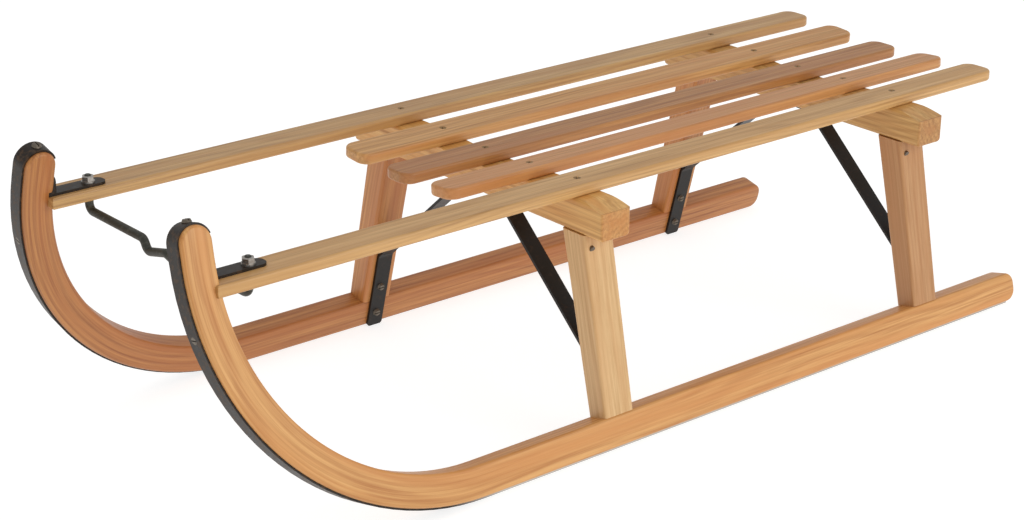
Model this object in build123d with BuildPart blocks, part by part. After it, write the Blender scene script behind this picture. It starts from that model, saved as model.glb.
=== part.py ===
from build123d import *
import os
from math import cos, radians, sin

os.makedirs("parts", exist_ok=True)

# A Davos sledge: two bent runners, two bridges of crossbar and splayed posts, five slats.
# +X points forward to the horns, +Y to the left, +Z up; the sledge stands on Z = 0.

# ---- Driving dimensions, in millimetres and degrees ----
overall_length = 1000
front_x = overall_length / 2
tail_x = -overall_length / 2
splay = 14.0
track_half = 194.0

# Runner stave and the steel strip under it
runner_width = 24.0
runner_depth = 30.0
runner_rounding = 3.0
tail_rounding = 12.0
bend_radius = 265.0
bend_angle = 92.0
horn_straight = 15.0
strip_width = 16.0
strip_thickness = 2.0
strip_cap_turn = 160.0
strip_tail_gap = 12.0

# Bridges: crossbars and posts
bridge_front_x = 72.0
bridge_rear_x = -358.0
crossbar_width = 35.0
crossbar_height = 33.0
crossbar_length = 370.0
crossbar_bottom = 205.0
crossbar_rounding = 4.5
hollow_depth = 5.5
hollow_flat_half = 33.0
hollow_half = 104.0
end_bevel_length = 27.0
end_bevel_drop = 6.0
post_width = 35.0
post_flare = 6.0
tenon_width = 24.0
tenon_thickness = 10.0
tenon_depth = 20.0
tenon_cover = 8.0

# Slats; the horned ones are cut to fit the horn they run into
slat_width = 36.0
slat_thickness = 11.0
slat_spacing = 65.5
slat_rear_x = tail_x
slat_front_x = 181.0
slat_corner = 12.0
slat_rounding = 2.5
horn_overlap = 5.0

# Stays of flat steel
stay_width = 18.0
stay_thickness = 3.0
stay_lug_end_y = 4.0
stay_top_bend_y = 27.0
stay_low_bend_height = 85.0
stay_foot_height = 2.0
stay_foot_corner = 3.0
stay_lug_corner = 8.0
stay_bend_radius = 9.0

# Angle bracket at each horn, and the pull rod that is bolted through both
bracket_y = 127.0
bracket_width = 16.0
bracket_thickness = 2.5
bracket_reach = 55.0
bracket_upright = 18.0
bracket_toe_corner = 7.0
bracket_top_corner = 5.0
rod_x = 429.0
rod_diameter = 8.0
rod_drop = 13.0
rod_kink_outer_y = 36.0
rod_kink_inner_y = 29.5
rod_kink_drop = 10.5
rod_centre_drop = 3.0
rod_bend_radius = 7.0
thread_diameter = 6.0
thread_out = 1.0
thread_chamfer = 0.6
nut_across = 10.0
nut_height = 5.0
nut_chamfer = 0.8
washer_diameter = 12.5
washer_thickness = 1.6

# Screws and nails
slat_screw = {"head": 7.0, "shank": 3.5, "length": 30.0}
strip_screw = {"head": 7.0, "shank": 3.5, "length": 18.0}
stay_top_screw = {"head": 9.0, "shank": 5.0, "length": 25.0}
stay_foot_screw = {"head": 8.5, "shank": 4.5, "length": 19.0}
horn_screw = {"head": 7.5, "shank": 4.0, "length": 20.0}
crown_screw = {"head": 9.0, "shank": 4.0, "length": 20.0}
pan_head_height = 2.6
pan_head_taper = 1.2
slot_width = 1.1
slot_depth = 1.2
slat_slot_direction = (0.8, 0.6)
strip_screw_xs = (-455.0, -215.0, 95.0)
strip_screw_turns = (38.0, 78.0)
stay_top_screw_y = 14.0
stay_foot_screw_rises = (18.0, -14.0)
horn_screw_height = 11.0
nail_head = 5.5
nail_head_thickness = 2.4
nail_shank = 2.6
nail_length = 42.0
nail_below_crossbar = 14.0
nail_forward = 10.0
nail_tilt = 35.0

# ---- Places worked out from them ----
lean = radians(splay)
crossbar_top = crossbar_bottom + crossbar_height
slat_top = crossbar_top + slat_thickness
runner_top = strip_thickness + runner_depth
bend_x = front_x - bend_radius
up_slope = Vector(0, -sin(lean), cos(lean))
outwards = Vector(0, cos(lean), sin(lean))
sole_lift = strip_width / 2 * sin(lean)
bridges = {"front": bridge_front_x, "rear": bridge_rear_x}

# The left side frame's own plane: x forward, y up the slope, z inwards to the other side.
left_side = Plane(origin=(0, track_half, sole_lift), x_dir=(1, 0, 0), z_dir=-outwards)


def side_point(x, rise, out=0.0):
    """A point of the left side frame: forward, up the slope and out from its mid-plane."""
    return left_side.from_local_coords(Vector(x, rise, -out))


def rise_at(height, out=0.0):
    """How far up the slope the side frame reaches a height above the ground."""
    return (height - sole_lift - out * sin(lean)) / cos(lean)


def seat_plane(row):
    """The plane a slat lies on: level on the outer rows and in the middle, sloping between."""
    if abs(row) == 1:
        slope = hollow_depth / (hollow_half - hollow_flat_half)
        depth = (hollow_half - slat_spacing) * slope
        origin = (0, row * slat_spacing, crossbar_top - depth)
        return Plane(origin=origin, x_dir=(1, 0, 0), z_dir=(0, -row * slope, 1))
    depth = hollow_depth if row == 0 else 0
    return Plane(origin=(0, row * slat_spacing, crossbar_top - depth), x_dir=(1, 0, 0), z_dir=(0, 0, 1))


def post_outer(rise):
    """How far out the post's outer face lies, which flares towards the crossbar."""
    flare_height = rise_at(crossbar_bottom) - runner_top
    return runner_width / 2 + post_flare * (rise - runner_top) / flare_height


def save(piece, name):
    piece.part.label = name
    export_step(piece.part, f"parts/{name}.step")


def save_pair(piece, name):
    """Write a left-hand piece, and its mirror image as the right-hand one."""
    save(piece, f"{name}_left")
    with BuildPart() as twin:
        mirror(piece.part, about=Plane.XZ)
    save(twin, f"{name}_right")


def sunk_screws(places, size, slotted):
    """Countersunk screws with their heads flush in each plane, pointing against its normal."""
    with BuildPart() as screws:
        with Locations(*places):
            sink = (size["head"] - size["shank"]) / 2
            top = (Align.CENTER, Align.CENTER, Align.MAX)
            Cone(size["shank"] / 2, size["head"] / 2, sink, align=top)
            Cylinder(size["shank"] / 2, size["length"], align=top)
            if slotted:
                Box(size["head"], slot_width, slot_depth, align=top, mode=Mode.SUBTRACT)
    return screws


def pan_screws(places, size):
    """Round-headed slotted screws whose heads stand on each plane."""
    with BuildPart() as screws:
        with Locations(*places):
            Cylinder(size["shank"] / 2, size["length"], align=(Align.CENTER, Align.CENTER, Align.MAX))
            foot = (Align.CENTER, Align.CENTER, Align.MIN)
            Cone(size["head"] / 2, size["head"] / 2 - pan_head_taper, pan_head_height, align=foot)
        slots = [place.offset(pan_head_height) for place in places]
        with Locations(*slots):
            top = (Align.CENTER, Align.CENTER, Align.MAX)
            Box(size["head"], slot_width, slot_depth, align=top, mode=Mode.SUBTRACT)
    return screws


def both_sides(left):
    """The left-hand solids together with their mirror images."""
    with BuildPart() as pair:
        add(left.part)
        mirror(left.part, about=Plane.XZ)
    return pair


# ---- Places of the screws ----
def strip_places():
    """Planes on the outside of the left strip: three along the sole and two up the bend."""
    places = []
    for x in strip_screw_xs:
        places.append(Plane(origin=side_point(x, 0), x_dir=(1, 0, 0), z_dir=-up_slope))
    for turn in strip_screw_turns:
        outward = Vector(sin(radians(turn)), 0, 0) - up_slope * cos(radians(turn))
        origin = side_point(bend_x, bend_radius) + outward * bend_radius
        places.append(Plane(origin=origin, x_dir=outwards, z_dir=outward))
    return places


def crown_place():
    """The plane on top of the left horn, outside the strip."""
    turn = radians(bend_angle)
    along = Vector(cos(turn), 0, 0) + up_slope * sin(turn)
    across = Vector(sin(turn), 0, 0) - up_slope * cos(turn)
    horn_foot = side_point(bend_x, bend_radius) + across * (bend_radius - strip_thickness)
    crown = horn_foot + along * horn_straight - across * (runner_depth / 2)
    origin = crown + along * (runner_depth / 2 + strip_thickness)
    return Plane(origin=origin, x_dir=outwards, z_dir=along)


def slat_screw_places():
    places = []
    for x in bridges.values():
        for row in range(-2, 3):
            seat = seat_plane(row)
            origin = seat.from_local_coords(Vector(x, 0, slat_thickness))
            along, across = slat_slot_direction
            slot_line = seat.from_local_coords(Vector(x + along, across, slat_thickness)) - origin
            places.append(Plane(origin=origin, x_dir=slot_line, z_dir=seat.z_dir))
    return places


def stay_top_places(x):
    origin = (x, stay_top_screw_y, crossbar_bottom - stay_thickness)
    return [Plane(origin=origin, x_dir=(1, 0, 0), z_dir=(0, 0, -1))]


def stay_foot_places(x):
    """One screw into the post and one through the runner into the post's tenon."""
    inner_face = runner_width / 2 + stay_thickness
    origins = [side_point(x, runner_top + rise, -inner_face) for rise in stay_foot_screw_rises]
    return [Plane(origin=origin, x_dir=(1, 0, 0), z_dir=-outwards) for origin in origins]


def nail_place(x):
    """On the post's outer face, tilted so that the nail runs up into the crossbar."""
    rise = rise_at(crossbar_bottom - nail_below_crossbar, runner_width / 2)
    outer = outwards * cos(radians(nail_tilt)) - up_slope * sin(radians(nail_tilt))
    origin = side_point(x + nail_forward, rise, post_outer(rise))
    return Plane(origin=origin, x_dir=(1, 0, 0), z_dir=outer)


# ---- Screws and nails, made first so that the pieces they enter can be bored for them ----
slat_screw_holes = sunk_screws(slat_screw_places(), slat_screw, slotted=False)
slat_screws = sunk_screws(slat_screw_places(), slat_screw, slotted=True)
save(slat_screws, "slat_screws")

strip_screw_holes = sunk_screws(strip_places(), strip_screw, slotted=False)
save(both_sides(sunk_screws(strip_places(), strip_screw, slotted=True)), "strip_screws")

crown_screws = pan_screws([crown_place()], crown_screw)
save(both_sides(crown_screws), "crown_screws")

stay_top_screws = pan_screws(sum([stay_top_places(x) for x in bridges.values()], []), stay_top_screw)
both_stay_top_screws = both_sides(stay_top_screws)
save(both_stay_top_screws, "stay_top_screws")

stay_foot_screws = pan_screws(sum([stay_foot_places(x) for x in bridges.values()], []), stay_foot_screw)
save(both_sides(stay_foot_screws), "stay_foot_screws")

horn_screw_place = Plane(
    origin=(front_x - runner_top - bracket_thickness, bracket_y, slat_top + horn_screw_height),
    x_dir=(0, 1, 0),
    z_dir=(-1, 0, 0),
)
horn_screws = pan_screws([horn_screw_place], horn_screw)
save(both_sides(horn_screws), "horn_screws")

with BuildPart() as nails:
    with Locations(*[nail_place(x) for x in bridges.values()]):
        Cylinder(nail_shank / 2, nail_length, align=(Align.CENTER, Align.CENTER, Align.MAX))
        Cylinder(nail_head / 2, nail_head_thickness)
post_nails = both_sides(nails)
save(post_nails, "post_nails")


# ---- Posts: each one tenoned into the runner below and the crossbar above ----
def build_post(x):
    foot = Plane(origin=side_point(x, runner_top), x_dir=(1, 0, 0), z_dir=up_slope)
    end_view = Plane(origin=side_point(x, 0), x_dir=outwards, z_dir=(1, 0, 0))
    post_reach = rise_at(crossbar_top)
    with BuildPart() as post:
        with BuildSketch(end_view):
            with BuildLine():
                Polyline(
                    (-runner_width / 2, runner_top),
                    (runner_width / 2, runner_top),
                    (post_outer(post_reach), post_reach),
                    (-runner_width / 2, post_reach),
                    close=True,
                )
            make_face()
        extrude(amount=post_width / 2, both=True)
        long_edges = post.edges().filter_by(lambda edge: edge.length > crossbar_bottom / 2)
        fillet(long_edges, runner_rounding)
        split(bisect_by=Plane.XY.offset(crossbar_bottom), keep=Keep.BOTTOM)
        with BuildSketch(foot.offset(-tenon_depth)):
            Rectangle(tenon_width, tenon_thickness)
        extrude(amount=crossbar_top)
        split(bisect_by=Plane.XY.offset(crossbar_top - tenon_cover), keep=Keep.BOTTOM)
        add(stay_foot_screws.part, mode=Mode.SUBTRACT)
        add(slat_screw_holes.part, mode=Mode.SUBTRACT)
        add(nails.part, mode=Mode.SUBTRACT)
    return post


posts = {}
for place, x in bridges.items():
    posts[place] = build_post(x)
    save_pair(posts[place], f"post_{place}")


# ---- Runner: one bent stave, with a long flat sole, a quarter-round bend and an upright horn ----
def stave_line(start_x, rise, cap_radius, cap_turn):
    """One long line of the stave: sole, bend, horn and the round top. Returns its two ends."""
    sole = Line((start_x, rise), (bend_x, rise))
    bend = JernArc(sole @ 1, sole % 1, bend_radius - rise, bend_angle)
    horn = Line(bend @ 1, bend @ 1 + (bend % 1) * horn_straight)
    cap = JernArc(horn @ 1, horn % 1, cap_radius, cap_turn)
    return sole @ 0, cap


with BuildPart() as runner:
    with BuildSketch(left_side):
        with BuildLine():
            heel, cap = stave_line(tail_x, strip_thickness, runner_depth / 2, 180)
            back = Line(cap @ 1, cap @ 1 + (cap % 1) * horn_straight)
            crook = JernArc(back @ 1, back % 1, bend_radius - runner_top, -bend_angle)
            upper = Line(crook @ 1, (tail_x, runner_top))
            Line(upper @ 1, heel)
        outline = make_face()
        fillet(outline.vertices().group_by(Axis.X)[0], tail_rounding)
    extrude(amount=runner_width / 2, both=True)
    side_faces = runner.faces().filter_by(left_side)
    fillet(side_faces.edges(), runner_rounding)
    for post in posts.values():
        add(post.part, mode=Mode.SUBTRACT)
    add(strip_screw_holes.part, mode=Mode.SUBTRACT)
    add(crown_screws.part, mode=Mode.SUBTRACT)
    add(stay_foot_screws.part, mode=Mode.SUBTRACT)
    add(horn_screws.part, mode=Mode.SUBTRACT)
save_pair(runner, "runner")

# ---- Runner strip: flat steel along the sole, round the bend and over the horn ----
with BuildPart() as runner_strip:
    strip_tail_x = tail_x + strip_tail_gap
    with BuildSketch(left_side):
        with BuildLine():
            outer_radius = runner_depth / 2 + strip_thickness
            outer_start, outer_cap = stave_line(strip_tail_x, 0, outer_radius, strip_cap_turn)
            inner_start, inner_cap = stave_line(
                strip_tail_x, strip_thickness, runner_depth / 2, strip_cap_turn
            )
            Line(outer_start, inner_start)
            Line(outer_cap @ 1, inner_cap @ 1)
        make_face()
    extrude(amount=strip_width / 2, both=True)
    add(strip_screw_holes.part, mode=Mode.SUBTRACT)
    add(crown_screws.part, mode=Mode.SUBTRACT)
save_pair(runner_strip, "runner_strip")

# ---- Crossbars: one across each pair of posts, mortised from below, its top
# hollowed for the seat and bevelled down at both ends ----
for place, x in bridges.items():
    with BuildPart() as crossbar:
        with Locations((x, 0, crossbar_bottom + crossbar_height / 2)):
            Box(crossbar_width, crossbar_length, crossbar_height)
        fillet(crossbar.edges().filter_by(Axis.Y), crossbar_rounding)
        fillet(crossbar.faces().filter_by(Axis.Y).edges(), crossbar_rounding / 2)
        with BuildSketch(Plane(origin=(x, 0, crossbar_top), x_dir=(0, 1, 0), z_dir=(1, 0, 0))):
            with BuildLine():
                Polyline(
                    (-hollow_half, 0),
                    (-hollow_flat_half, -hollow_depth),
                    (hollow_flat_half, -hollow_depth),
                    (hollow_half, 0),
                    close=True,
                )
            make_face()
            bar_end = crossbar_length / 2
            with BuildLine():
                Polyline(
                    (bar_end - end_bevel_length, 0),
                    (bar_end, -end_bevel_drop),
                    (bar_end, 0),
                    close=True,
                )
            bevel = make_face()
            mirror(bevel, about=Plane.YZ)
        extrude(amount=crossbar_width, both=True, mode=Mode.SUBTRACT)
        for post in posts.values():
            add(both_sides(post).part, mode=Mode.SUBTRACT)
        add(slat_screw_holes.part, mode=Mode.SUBTRACT)
        add(both_stay_top_screws.part, mode=Mode.SUBTRACT)
        add(post_nails.part, mode=Mode.SUBTRACT)
    save(crossbar, f"crossbar_{place}")


# ---- Slats: two long ones that reach the horns, three short ones between them ----
def build_slat(row, front_end, horned):
    """A slat `row` places out from the middle; a horned one is coped to the runner it meets."""
    seat = seat_plane(row)
    length = front_end - slat_rear_x
    centre = seat.from_local_coords(Vector((front_end + slat_rear_x) / 2, 0, slat_thickness / 2))
    with BuildPart() as slat:
        with Locations(Plane(origin=centre, x_dir=(1, 0, 0), z_dir=seat.z_dir)):
            Box(length, slat_width, slat_thickness)
        corners = slat.edges().filter_by(Axis((0, 0, 0), seat.z_dir))
        if horned:
            corners = corners.group_by(Axis.X)[0]
        fillet(corners, slat_corner)
        fillet(slat.faces().sort_by(Axis.Z)[-1].edges(), slat_rounding)
        fillet(slat.faces().sort_by(Axis.Z)[0].edges(), slat_rounding)
        add(slat_screw_holes.part, mode=Mode.SUBTRACT)
        if horned:
            add(runner.part, mode=Mode.SUBTRACT)
            with Locations((rod_x, bracket_y, slat_top)):
                Hole(thread_diameter / 2)
    return slat


save_pair(build_slat(2, front_x - runner_top + horn_overlap, horned=True), "slat_outer")
save_pair(build_slat(1, slat_front_x, horned=False), "slat_inner")
save(build_slat(0, slat_front_x, horned=False), "slat_centre")


# ---- Stays: flat steel from the crossbar's underside out to the post and down to the runner ----
def build_stay(x):
    bridge_plane = Plane(origin=(x, 0, 0), x_dir=(0, 1, 0), z_dir=(1, 0, 0))
    middle = runner_width / 2 + stay_thickness / 2
    low_bend = side_point(x, rise_at(stay_low_bend_height, -middle), -middle)
    foot = side_point(x, stay_foot_height, -middle)
    lug_height = crossbar_bottom - stay_thickness / 2
    with BuildPart() as stay:
        with BuildLine(bridge_plane) as route:
            FilletPolyline(
                (stay_lug_end_y, lug_height),
                (stay_top_bend_y, lug_height),
                (low_bend.Y, low_bend.Z),
                (foot.Y, foot.Z),
                radius=stay_bend_radius,
            )
        with BuildSketch(Plane(origin=route.line @ 0, x_dir=(1, 0, 0), z_dir=route.line % 0)):
            Rectangle(stay_width, stay_thickness)
        sweep()
        fillet(stay.edges().filter_by(Axis.Z), stay_lug_corner)
        fillet(stay.edges().filter_by(Axis((0, 0, 0), outwards)), stay_foot_corner)
        add(stay_top_screws.part, mode=Mode.SUBTRACT)
        add(stay_foot_screws.part, mode=Mode.SUBTRACT)
    return stay


for place, x in bridges.items():
    save_pair(build_stay(x), f"stay_{place}")

# ---- Angle bracket: holds the slat's front end to the back of the horn ----
with BuildPart() as angle_bracket:
    horn_back_x = front_x - runner_top
    with BuildSketch(Plane(origin=(0, bracket_y, 0), x_dir=(1, 0, 0), z_dir=(0, -1, 0))):
        with BuildLine():
            Polyline(
                (horn_back_x - bracket_reach, slat_top),
                (horn_back_x + horn_overlap, slat_top),
                (horn_back_x + horn_overlap, slat_top + bracket_upright),
                (horn_back_x - bracket_thickness, slat_top + bracket_upright),
                (horn_back_x - bracket_thickness, slat_top + bracket_thickness),
                (horn_back_x - bracket_reach, slat_top + bracket_thickness),
                close=True,
            )
        make_face()
    extrude(amount=bracket_width / 2, both=True)
    fillet(angle_bracket.edges().filter_by(Axis.Z).group_by(Axis.X)[0], bracket_toe_corner)
    fillet(angle_bracket.edges().filter_by(Axis.X).group_by(Axis.Z)[-1], bracket_top_corner)
    add(runner.part, mode=Mode.SUBTRACT)
    add(horn_screws.part, mode=Mode.SUBTRACT)
    with Locations((rod_x, bracket_y, slat_top + bracket_thickness)):
        Hole(thread_diameter / 2)
save_pair(angle_bracket, "angle_bracket")

# ---- Pull rod: round steel across the front, its threaded ends bent up through the slats ----
rod_height = crossbar_top - rod_drop
with BuildPart() as pull_rod:
    rod_plane = Plane(origin=(rod_x, 0, 0), x_dir=(0, 1, 0), z_dir=(1, 0, 0))
    left_half = [
        (bracket_y, crossbar_top),
        (bracket_y, rod_height),
        (rod_kink_outer_y, rod_height),
        (rod_kink_inner_y, rod_height - rod_kink_drop),
    ]
    right_half = [(-y, z) for y, z in reversed(left_half)]
    middle = (0, rod_height - rod_centre_drop)
    with BuildLine(rod_plane) as rod_route:
        FilletPolyline(*left_half, middle, *right_half, radius=rod_bend_radius)
    with BuildSketch(Plane(origin=rod_route.line @ 0, z_dir=rod_route.line % 0)):
        Circle(rod_diameter / 2)
    sweep()
    thread_length = slat_thickness + bracket_thickness + washer_thickness + nut_height + thread_out
    with Locations((rod_x, bracket_y, crossbar_top), (rod_x, -bracket_y, crossbar_top)):
        Cylinder(thread_diameter / 2, thread_length, align=(Align.CENTER, Align.CENTER, Align.MIN))
    chamfer(pull_rod.faces().group_by(Axis.Z)[-1].edges(), thread_chamfer)
save(pull_rod, "pull_rod")

# ---- Washer and nut on each end of the pull rod ----
with BuildPart() as washer:
    with BuildSketch(Plane(origin=(rod_x, bracket_y, slat_top + bracket_thickness))):
        Circle(washer_diameter / 2)
        Circle(thread_diameter / 2, mode=Mode.SUBTRACT)
    extrude(amount=washer_thickness)
save(both_sides(washer), "rod_washers")

with BuildPart() as nut:
    with BuildSketch(Plane(origin=(rod_x, bracket_y, slat_top + bracket_thickness + washer_thickness))):
        RegularPolygon(nut_across / 2 / cos(radians(30)), 6)
    extrude(amount=nut_height)
    chamfer(nut.faces().sort_by(Axis.Z)[-1].edges(), nut_chamfer)
    with Locations((rod_x, bracket_y, slat_top + bracket_thickness + washer_thickness + nut_height)):
        Hole(thread_diameter / 2)
save(both_sides(nut), "rod_nuts")
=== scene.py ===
from math import cos, pi, radians, sin

import bpy
import numpy as np
from mathutils import Matrix, Vector


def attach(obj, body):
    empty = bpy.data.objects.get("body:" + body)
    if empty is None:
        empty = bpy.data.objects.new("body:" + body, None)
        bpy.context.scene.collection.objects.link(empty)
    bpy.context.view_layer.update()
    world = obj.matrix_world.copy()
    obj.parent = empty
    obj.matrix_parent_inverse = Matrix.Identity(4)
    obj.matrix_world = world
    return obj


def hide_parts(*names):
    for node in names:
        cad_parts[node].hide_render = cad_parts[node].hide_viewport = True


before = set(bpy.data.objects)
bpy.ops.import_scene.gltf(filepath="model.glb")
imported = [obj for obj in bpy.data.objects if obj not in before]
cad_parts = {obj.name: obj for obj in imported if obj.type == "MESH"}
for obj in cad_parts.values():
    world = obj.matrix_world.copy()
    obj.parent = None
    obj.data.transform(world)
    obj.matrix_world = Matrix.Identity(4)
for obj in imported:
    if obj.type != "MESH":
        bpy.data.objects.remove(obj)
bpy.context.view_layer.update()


# ---- The two runners ----
# Each is one stave of ash, 24 by 30 mm, steamed and bent round a form, then rounded along its
# edges and varnished. The grain follows the bend, because the stave was sawn straight first.
runner_lean = radians(14)
track_half = 0.194
sole_lift = 0.008 * sin(runner_lean)
runner_half_width = 0.012
runner_half_depth = 0.015
runner_edge_round = 0.003
strip_thickness = 0.002
tail_x = -0.500
tail_round = 0.012
bend_x = 0.235
bend_radius = 0.265
bend_angle = radians(92)
horn_straight = 0.015
centre_radius = bend_radius - strip_thickness - runner_half_depth
sole_length = bend_x - tail_x
bend_length = centre_radius * bend_angle
crown_start = sole_length + bend_length + horn_straight


def to_linear(hex_colour):
    """sRGB hex to linear RGBA: the lower part divided by 12.92, the rest ((c + 0.055) / 1.055) ^ 2.4."""
    channels = [int(hex_colour[i : i + 2], 16) / 255 for i in (1, 3, 5)]
    linear = [c / 12.92 if c <= 0.04045 else ((c + 0.055) / 1.055) ** 2.4 for c in channels]
    return (*linear, 1.0)


def add_node(tree, kind, settings=None, **links):
    """Adds one shader node: settings go to its properties, links fill its inputs by name or index."""
    node = tree.nodes.new(kind)
    for name, value in (settings or {}).items():
        setattr(node, name, value)
    for name, value in links.items():
        key = int(name[1:]) if name[0] == "i" and name[1:].isdigit() else name.replace("_", " ")
        socket = node.inputs[key]
        if isinstance(value, bpy.types.NodeSocket):
            tree.links.new(value, socket)
        else:
            socket.default_value = value
    return node


def new_material(name):
    material = bpy.data.materials.new(name)
    material.use_nodes = True
    tree = material.node_tree
    return material, tree, tree.nodes["Principled BSDF"]


def varnished_ash(name, pale, dark, flush, shift, turn=(0, 0, 0), attribute=None):
    """Plain-sawn ash under satin varnish. It shows faint growth-ring lines 5 mm apart that wander
    along the board, fine lengthwise streaks, and slow changes from pale to a warmer brown.
    The grain runs along X after `turn`; `shift` cuts each board from another part of the tree."""
    material, tree, shader = new_material(name)
    if attribute:
        place = add_node(tree, "ShaderNodeAttribute", {"attribute_name": attribute}).outputs["Vector"]
    else:
        place = add_node(tree, "ShaderNodeTexCoord").outputs["Object"]
    board = add_node(tree, "ShaderNodeMapping", Vector=place, Rotation=turn, Location=shift).outputs[0]

    # Growth rings: circles about the heart of the tree, pushed aside by about 9 mm along the board.
    wander_scale = (2.4, 13, 13)
    wander_reach = 0.045
    slow = add_node(tree, "ShaderNodeMapping", Vector=board, Scale=wander_scale).outputs[0]
    wander = add_node(tree, "ShaderNodeTexNoise", Vector=slow, Scale=1.0, Detail=2.0)
    centred = add_node(
        tree,
        "ShaderNodeVectorMath",
        {"operation": "SUBTRACT"},
        i0=wander.outputs["Color"],
        i1=(0.5, 0.5, 0.5),
    )
    push = add_node(
        tree,
        "ShaderNodeVectorMath",
        {"operation": "MULTIPLY"},
        i0=centred.outputs[0],
        i1=(0.0, wander_reach, wander_reach),
    )
    moved = add_node(tree, "ShaderNodeVectorMath", {"operation": "ADD"}, i0=board, i1=push.outputs[0])
    ring_spacing = 0.0052
    rings = add_node(
        tree,
        "ShaderNodeTexWave",
        {"wave_type": "RINGS", "rings_direction": "X"},
        Vector=moved.outputs[0],
        Scale=2 * pi / (20 * ring_spacing),
        Distortion=0.8,
        Detail=2.0,
        Detail_Scale=0.6,
    )
    # Pores and fibres: streaks about 2.5 mm wide and 150 mm long, drawn coarser than the real 0.3 mm.
    fibre_scale = (6.5, 400, 400)
    tone_scale = (3.4, 75, 75)
    stretched = add_node(tree, "ShaderNodeMapping", Vector=board, Scale=fibre_scale).outputs[0]
    fibres = add_node(tree, "ShaderNodeTexNoise", Vector=stretched, Scale=1.0, Detail=4.0, Roughness=0.65)
    broad = add_node(tree, "ShaderNodeMapping", Vector=board, Scale=tone_scale).outputs[0]
    tone = add_node(tree, "ShaderNodeTexNoise", Vector=broad, Scale=1.0, Detail=2.0)

    ring_strength = 0.26
    fibre_strength = 0.72
    flush_strength = 0.75
    ring_line = add_node(
        tree,
        "ShaderNodeMapRange",
        Value=rings.outputs["Fac"],
        From_Min=0.3,
        From_Max=1.0,
        To_Min=0.0,
        To_Max=ring_strength,
    )
    fibre_line = add_node(
        tree,
        "ShaderNodeMapRange",
        Value=fibres.outputs["Fac"],
        From_Min=0.36,
        From_Max=0.7,
        To_Min=0.0,
        To_Max=fibre_strength,
    )
    figure = add_node(
        tree, "ShaderNodeMath", {"operation": "ADD"}, i0=ring_line.outputs[0], i1=fibre_line.outputs[0]
    )
    grain_colour = add_node(
        tree,
        "ShaderNodeMix",
        {"data_type": "RGBA"},
        i0=figure.outputs[0],
        i6=to_linear(pale),
        i7=to_linear(dark),
    )
    flush_line = add_node(
        tree,
        "ShaderNodeMapRange",
        Value=tone.outputs["Fac"],
        From_Min=0.42,
        From_Max=0.68,
        To_Min=0.0,
        To_Max=flush_strength,
    )
    colour = add_node(
        tree,
        "ShaderNodeMix",
        {"data_type": "RGBA"},
        i0=flush_line.outputs[0],
        i6=grain_colour.outputs[2],
        i7=to_linear(flush),
    )
    smoothest = 0.38
    roughest = 0.55
    roughness = add_node(
        tree,
        "ShaderNodeMapRange",
        Value=fibres.outputs["Fac"],
        From_Min=0.3,
        From_Max=0.7,
        To_Min=smoothest,
        To_Max=roughest,
    )
    relief = add_node(tree, "ShaderNodeBump", Strength=0.35, Distance=0.0004, Height=figure.outputs[0])
    tree.links.new(colour.outputs[2], shader.inputs["Base Color"])
    tree.links.new(roughness.outputs[0], shader.inputs["Roughness"])
    tree.links.new(relief.outputs[0], shader.inputs["Normal"])
    shader.inputs["IOR"].default_value = 1.5
    shader.inputs["Coat Weight"].default_value = 0.2
    shader.inputs["Coat Roughness"].default_value = 0.3
    return material


def stave_point(along, across):
    """The stave's side view. Along the sole a point is (tail + along, middle height + across); in the
    bend it lies (centre_radius - across) from the bend's centre, turned by along / centre_radius; past
    the bend it goes straight on in the last direction. Returns x and the rise up the slope."""
    turned = np.clip((along - sole_length) / centre_radius, 0, bend_angle)
    before = np.minimum(along - sole_length, 0)
    beyond = np.maximum(along - sole_length - bend_length, 0)
    distance = centre_radius - across
    x = bend_x + before + distance * np.sin(turned) + beyond * np.cos(turned)
    rise = bend_radius - distance * np.cos(turned) + beyond * np.sin(turned)
    return x, rise


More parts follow.
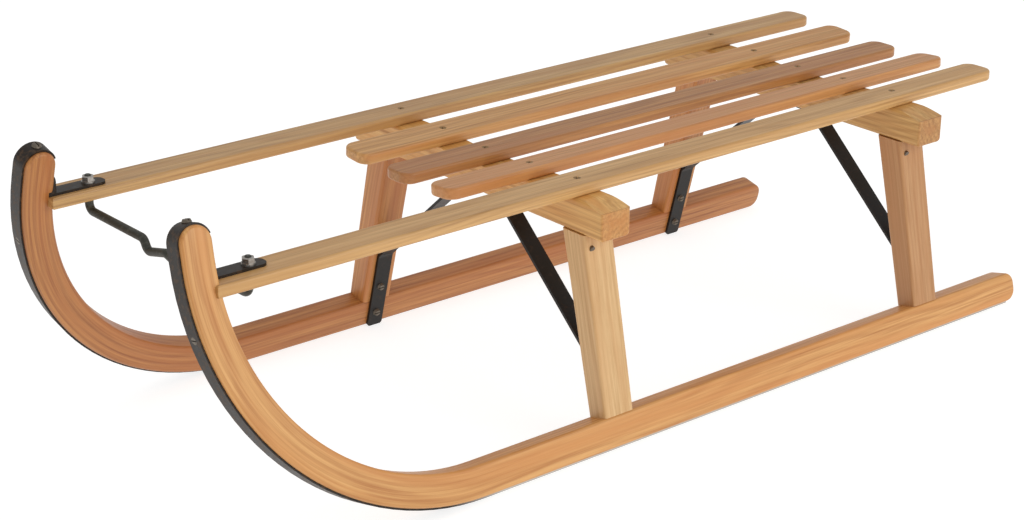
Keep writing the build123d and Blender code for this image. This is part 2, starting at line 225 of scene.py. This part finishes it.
def bent_stave(name, side):
    """A bent stave. Rings of points follow its outline: out along the lower line, round the crown on a
    half circle, back along the upper line and round the tail on two quarter circles. Each ring lies one
    step further across the width. Within one edge rounding of a side face, a ring turned by angle a is
    drawn in by rounding * (1 - sin a) and lies rounding * (1 - cos a) inside the half width."""
    swing = np.linspace(0, pi / 2, 6)
    inset = runner_edge_round * (1 - np.sin(swing))
    out = runner_half_width - runner_edge_round * (1 - np.cos(swing))
    inset = np.concatenate([inset, inset[::-1]])
    out = np.concatenate([out, -out[::-1]])

    sole = np.linspace(tail_round, sole_length, 24)
    bend = sole_length + np.linspace(0, bend_length, 49)[1:]
    crown_turn = np.linspace(-pi / 2, pi / 2, 26)
    tail_turn = np.linspace(pi, pi / 2, 7)
    rings = []
    for drawn_in in inset:
        depth = runner_half_depth - drawn_in
        straight = np.concatenate([sole, bend])
        crown_along = crown_start + depth * np.cos(crown_turn)
        crown_across = depth * np.sin(crown_turn)
        corner = tail_round - drawn_in
        corner_along = tail_round + corner * np.cos(tail_turn)
        corner_across = runner_half_depth - tail_round + corner * np.sin(tail_turn)
        along = np.concatenate(
            [corner_along[:-1], straight, crown_along, straight[::-1], corner_along[:-1][::-1]]
        )
        across = np.concatenate(
            [
                -corner_across[:-1],
                np.full_like(straight, -depth),
                crown_across,
                np.full_like(straight, depth),
                corner_across[:-1][::-1],
            ]
        )
        rings.append(np.stack([along, across], axis=1))
    rings = np.array(rings)
    ring_count, point_count = rings.shape[:2]
    along, across = rings[..., 0], rings[..., 1]
    outward = np.repeat(out[:, None], point_count, axis=1)
    x, rise = stave_point(along, across)
    y = track_half - rise * sin(runner_lean) + outward * cos(runner_lean)
    z = sole_lift + rise * cos(runner_lean) + outward * sin(runner_lean)
    points = np.stack([x, side * y, z], axis=-1).reshape(-1, 3)

    ring, spot = np.meshgrid(np.arange(ring_count - 1), np.arange(point_count), indexing="ij")
    following = (spot + 1) % point_count
    rim = np.stack(
        [
            ring * point_count + spot,
            (ring + 1) * point_count + spot,
            (ring + 1) * point_count + following,
            ring * point_count + following,
        ],
        axis=-1,
    ).reshape(-1, 4)
    lower = np.arange(point_count // 2 - 1)
    upper = point_count - 1 - lower
    near_face = np.stack([lower, lower + 1, upper - 1, upper], axis=1)
    far_face = near_face[:, ::-1] + (ring_count - 1) * point_count
    faces = np.concatenate([rim, near_face, far_face])
    if side > 0:
        faces = faces[:, ::-1]

    mesh = bpy.data.meshes.new(name)
    mesh.from_pydata(points.tolist(), [], faces.tolist())
    grain = mesh.attributes.new("grain", "FLOAT_VECTOR", "POINT")
    lengthwise = np.stack([along, across, outward], axis=-1).astype(np.float32)
    grain.data.foreach_set("vector", lengthwise.ravel())
    mesh.polygons.foreach_set("use_smooth", np.ones(len(faces), dtype=bool))
    mesh.set_sharp_from_angle(angle=radians(40))
    stave = bpy.data.objects.new(name, mesh)
    bpy.context.scene.collection.objects.link(stave)
    return stave


stave_tones_and_side_shade = {
    "left": (1, (0.0, 0.031, 0.052), "#DAA360", "#AA6829", "#CD8946"),
    # The right runner's darker, redder tones are partly painted shade, for the side turned away from the
    # light.
    "right": (-1, (1.7, 0.046, -0.038), "#BE8042", "#88491A", "#AB642A"),
}
for word, (side, shift, pale, dark, flush) in stave_tones_and_side_shade.items():
    runner = bent_stave(f"bent_runner_{word}", side)
    wood = varnished_ash(f"varnished_ash_runner_{word}", pale, dark, flush, shift, attribute="grain")
    runner.data.materials.append(wood)
    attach(runner, "root")
    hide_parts(f"runner_{word}")


# ---- The runner strips ----
# Flat steel, 16 by 2 mm, screwed to the sole, round the bend and over the horn. It was painted
# black; the paint has gone brown in places, and the snow has polished the sole bright.
def dress(node, material):
    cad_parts[node].material_slots[0].material = material


def painted_steel(name, paint, worn, worn_from, roughness):
    """Brushed-on paint on rolled steel: a slightly uneven satin film, with spots 3 to 6 mm across
    where it has worn thin and shows browner and duller."""
    material, tree, shader = new_material(name)
    place = add_node(tree, "ShaderNodeTexCoord").outputs["Object"]
    spot_scale = 190.0
    spots = add_node(
        tree, "ShaderNodeTexNoise", Vector=place, Scale=spot_scale, Detail=5.0, Roughness=0.6
    )
    film = add_node(tree, "ShaderNodeTexNoise", Vector=place, Scale=900.0, Detail=2.0)
    thin = add_node(
        tree,
        "ShaderNodeMapRange",
        Value=spots.outputs["Fac"],
        From_Min=worn_from,
        From_Max=worn_from + 0.12,
        To_Min=0.0,
        To_Max=1.0,
    )
    colour = add_node(
        tree,
        "ShaderNodeMix",
        {"data_type": "RGBA"},
        i0=thin.outputs[0],
        i6=to_linear(paint),
        i7=to_linear(worn),
    )
    gloss = add_node(
        tree,
        "ShaderNodeMapRange",
        Value=spots.outputs["Fac"],
        From_Min=0.3,
        From_Max=0.75,
        To_Min=roughness - 0.06,
        To_Max=roughness + 0.12,
    )
    relief = add_node(tree, "ShaderNodeBump", Strength=0.2, Distance=0.0002, Height=film.outputs["Fac"])
    tree.links.new(colour.outputs[2], shader.inputs["Base Color"])
    tree.links.new(gloss.outputs[0], shader.inputs["Roughness"])
    tree.links.new(relief.outputs[0], shader.inputs["Normal"])
    shader.inputs["Specular IOR Level"].default_value = 0.3
    return material


worn_black_strip = painted_steel("worn_black_paint_on_strip_steel", "#20170F", "#44311F", 0.50, 0.42)

# The paint ends where the bend meets the sole, over 60 mm; behind that the steel is bright.
tree = worn_black_strip.node_tree
shader = tree.nodes["Principled BSDF"]
paint_colour = shader.inputs["Base Color"].links[0].from_socket
place = add_node(tree, "ShaderNodeTexCoord").outputs["Object"]
lengthwise = add_node(tree, "ShaderNodeSeparateXYZ", Vector=place).outputs["X"]
paint_gone_x = 0.215
paint_whole_x = 0.275
painted = add_node(
    tree, "ShaderNodeMapRange", Value=lengthwise, From_Min=paint_gone_x, From_Max=paint_whole_x
)
strip_colour = add_node(
    tree,
    "ShaderNodeMix",
    {"data_type": "RGBA"},
    i0=painted.outputs[0],
    i6=to_linear("#B9B5AE"),
    i7=paint_colour,
)
bare = add_node(tree, "ShaderNodeMath", {"operation": "SUBTRACT"}, i0=1.0, i1=painted.outputs[0])
tree.links.new(strip_colour.outputs[2], shader.inputs["Base Color"])
tree.links.new(bare.outputs[0], shader.inputs["Metallic"])
for word in ("left", "right"):
    dress(f"runner_strip_{word}", worn_black_strip)


# ---- The posts ----
# Four ash posts, tenoned into the runners and crossbars and glued. They lean in by 14 degrees
# like the runners, and their grain runs up them.
post_tones_and_side_shade = {
    "front_left": ((0.3, 0.035, 0.012), "#DBB580", "#B7884F", "#CD9D66"),
    # The right posts' darker, redder tones are partly painted shade, for the side turned away from the
    # light.
    "front_right": ((1.1, -0.028, 0.044), "#CE8E4C", "#985723", "#B46C30"),
    "rear_left": ((2.2, 0.022, -0.051), "#C0905F", "#A06B39", "#B37D4B"),
    "rear_right": ((3.4, 0.048, 0.027), "#CE8E4C", "#985723", "#B46C30"),
}
for word, (shift, pale, dark, flush) in post_tones_and_side_shade.items():
    lean = -runner_lean if word.endswith("left") else runner_lean
    upright = (lean, pi / 2, 0)
    wood = varnished_ash(f"varnished_ash_post_{word}", pale, dark, flush, shift, upright)
    dress(f"post_{word}", wood)


# ---- The crossbars ----
# Two ash bars, 35 by 33 mm, rounded on their edges and hollowed for the seat, that sit on the posts'
# tenons. Their sawn ends drink more varnish, so they are darker and redder than the long faces.
crossways = (0, 0, -pi / 2)
bar_cuts = {
    "crossbar_front": ((0.4, 0.018, 0.040), "#E5B46B", "#AF7837", "#D19247"),
    "crossbar_rear": ((1.9, -0.032, 0.022), "#D5A865", "#9C6C31", "#BD8543"),
}
bar_half = 0.185
end_starts = bar_half - 0.0022
end_full = bar_half - 0.0004
end_strength = 0.85
for node, (shift, pale, dark, flush) in bar_cuts.items():
    wood = varnished_ash(f"varnished_ash_{node}", pale, dark, flush, shift, crossways)
    tree = wood.node_tree
    shader = tree.nodes["Principled BSDF"]
    face_colour = shader.inputs["Base Color"].links[0].from_socket
    place = add_node(tree, "ShaderNodeTexCoord").outputs["Object"]
    sideways = add_node(tree, "ShaderNodeSeparateXYZ", Vector=place).outputs["Y"]
    from_middle = add_node(tree, "ShaderNodeMath", {"operation": "ABSOLUTE"}, i0=sideways)
    end_grain = add_node(
        tree,
        "ShaderNodeMapRange",
        Value=from_middle.outputs[0],
        From_Min=end_starts,
        From_Max=end_full,
        To_Min=0.0,
        To_Max=end_strength,
    )
    bar_colour = add_node(
        tree,
        "ShaderNodeMix",
        {"data_type": "RGBA", "blend_type": "MULTIPLY"},
        i0=end_grain.outputs[0],
        i6=face_colour,
        i7=to_linear("#DFCBB6"),
    )
    tree.links.new(bar_colour.outputs[2], shader.inputs["Base Color"])
    dress(node, wood)


# ---- The slats ----
# Five ash slats, 36 by 11 mm with rounded corners, screwed down on both crossbars. Each was sawn
# from a different board, so each has its own tone.
slat_cuts = {
    "slat_outer_right": ((0.0, 0.165, 0.020), "#CCA266", "#966A3D", "#B4834A"),
    "slat_inner_right": ((1.3, 0.118, -0.240), "#D4A05F", "#9D6932", "#C08043"),
    "slat_centre": ((2.9, 0.022, -0.215), "#BD8548", "#875428", "#A76933"),
    "slat_inner_left": ((4.1, -0.035, -0.228), "#D69B5C", "#A36C38", "#C27F44"),
    "slat_outer_left": ((5.6, -0.150, -0.205), "#D6A96C", "#9F723D", "#BD8C4F"),
}
for node, (shift, pale, dark, flush) in slat_cuts.items():
    dress(node, varnished_ash(f"varnished_ash_{node}", pale, dark, flush, shift))


# ---- The stays ----
# Flat steel, 18 by 3 mm, bent cold and painted black. Each braces a crossbar against its post and
# reaches down over the runner's joint.
black_stay = painted_steel("satin_black_paint_on_stay_steel", "#15110E", "#2A1F17", 0.56, 0.38)
for word in ("front_left", "front_right", "rear_left", "rear_right"):
    dress(f"stay_{word}", black_stay)


# ---- The angle brackets and the pull rod ----
# Pressed steel brackets hold the outer slats to the horns. The rod's threaded ends come up
# through slat and bracket. All three are painted dark, the rod a greyer green.
black_bracket = painted_steel("dark_paint_on_bracket_steel", "#211911", "#3D2C1D", 0.54, 0.40)
for word in ("left", "right"):
    dress(f"angle_bracket_{word}", black_bracket)
dress("pull_rod", painted_steel("grey_paint_on_rod_steel", "#34342D", "#4B4A41", 0.52, 0.40))


# ---- Nuts, washers, screws and nails ----
# The nuts and washers are zinc plated, the slat screws yellow passivated, the other screws and
# the nails plain steel gone dark.
def plated_steel(name, bright, dull, roughness):
    """Electroplated steel: a metal face clouded by handling, in patches 2 mm across."""
    material, tree, shader = new_material(name)
    place = add_node(tree, "ShaderNodeTexCoord").outputs["Object"]
    cloud_scale = 500.0
    clouds = add_node(tree, "ShaderNodeTexNoise", Vector=place, Scale=cloud_scale, Detail=3.0)
    colour = add_node(
        tree,
        "ShaderNodeMix",
        {"data_type": "RGBA"},
        i0=clouds.outputs["Fac"],
        i6=to_linear(bright),
        i7=to_linear(dull),
    )
    gloss = add_node(
        tree,
        "ShaderNodeMapRange",
        Value=clouds.outputs["Fac"],
        To_Min=roughness - 0.08,
        To_Max=roughness + 0.12,
    )
    tree.links.new(colour.outputs[2], shader.inputs["Base Color"])
    tree.links.new(gloss.outputs[0], shader.inputs["Roughness"])
    shader.inputs["Metallic"].default_value = 1.0
    return material


zinc = plated_steel("zinc_plate_on_nuts", "#C4C0BA", "#8F8B86", 0.38)
for node in ("rod_nuts", "rod_washers"):
    dress(node, zinc)
dress("slat_screws", plated_steel("yellow_passivated_slat_screws", "#B28D58", "#7C5F3A", 0.45))
dark_screw = plated_steel("darkened_steel_screws", "#857C70", "#5A5148", 0.42)
dark_fasteners = (
    "horn_screws",
    "crown_screws",
    "stay_top_screws",
    "stay_foot_screws",
    "strip_screws",
    "post_nails",
)
for node in dark_fasteners:
    dress(node, dark_screw)


# ---- The camera ----
# A long lens 2.4 m away, ahead and to the left of the sledge and just under a metre up,
# so that both horns, the outer side of the left runner and the slats' tops all show.
camera_place = Vector((1.4144, 1.6162, 0.9578))
camera_aim = Vector((-0.5998, -0.7065, -0.3755))
camera_roll = radians(0.69)

camera_data = bpy.data.cameras.new("studio_camera")
camera = bpy.data.objects.new("studio_camera", camera_data)
bpy.context.scene.collection.objects.link(camera)
camera_data.sensor_width = 36.0
camera_data.lens = 81.896
camera_data.shift_x = 0.0044
camera_data.shift_y = 0.0202
camera_data.clip_start = 0.05
camera_data.clip_end = 60
turn = camera_aim.to_track_quat("-Z", "Y").to_matrix() @ Matrix.Rotation(camera_roll, 3, "Z")
camera.matrix_world = Matrix.Translation(camera_place) @ turn.to_4x4()
bpy.context.scene.camera = camera


# ---- The studio: a pale floor and large soft lights ----
# A glowing white floor, as over a light table, so that it holds almost no shadow. The brighter
# panel stands on the sledge's left, and a weak one hangs overhead.
scene = bpy.context.scene
scene.view_settings.view_transform = "Standard"
world = bpy.data.worlds.new("studio_air")
world.use_nodes = True
world.node_tree.nodes["Background"].inputs["Color"].default_value = (1.0, 1.0, 1.0, 1.0)
world.node_tree.nodes["Background"].inputs["Strength"].default_value = 0.62
scene.world = world

floor_board, floor_tree, floor_shader = new_material("white_painted_floor")
floor_shader.inputs["Base Color"].default_value = to_linear("#A8A8A7")
floor_shader.inputs["Emission Color"].default_value = to_linear("#FFFFFF")
floor_shader.inputs["Emission Strength"].default_value = 0.78
floor_shader.inputs["Roughness"].default_value = 0.9
floor_mesh = bpy.data.meshes.new("studio_floor")
reach = 30.0
floor_corners = [(-reach, -reach, 0), (reach, -reach, 0), (reach, reach, 0), (-reach, reach, 0)]
floor_mesh.from_pydata(floor_corners, [], [(0, 1, 2, 3)])
floor_mesh.materials.append(floor_board)
floor = bpy.data.objects.new("studio_floor", floor_mesh)
scene.collection.objects.link(floor)


def soft_light(name, place, aim, size, power):
    data = bpy.data.lights.new(name, "AREA")
    data.shape = "SQUARE"
    data.size = size
    data.energy = power
    light = bpy.data.objects.new(name, data)
    facing = (aim - place).to_track_quat("-Z", "Y").to_matrix().to_4x4()
    light.matrix_world = Matrix.Translation(place) @ facing
    scene.collection.objects.link(light)


middle = Vector((0, 0, 0.15))
soft_light("side_panel", Vector((-0.8, 2.8, 1.3)), middle, 1.8, 30)
soft_light("top_panel", Vector((0.2, -0.3, 2.8)), middle, 2.2, 6)
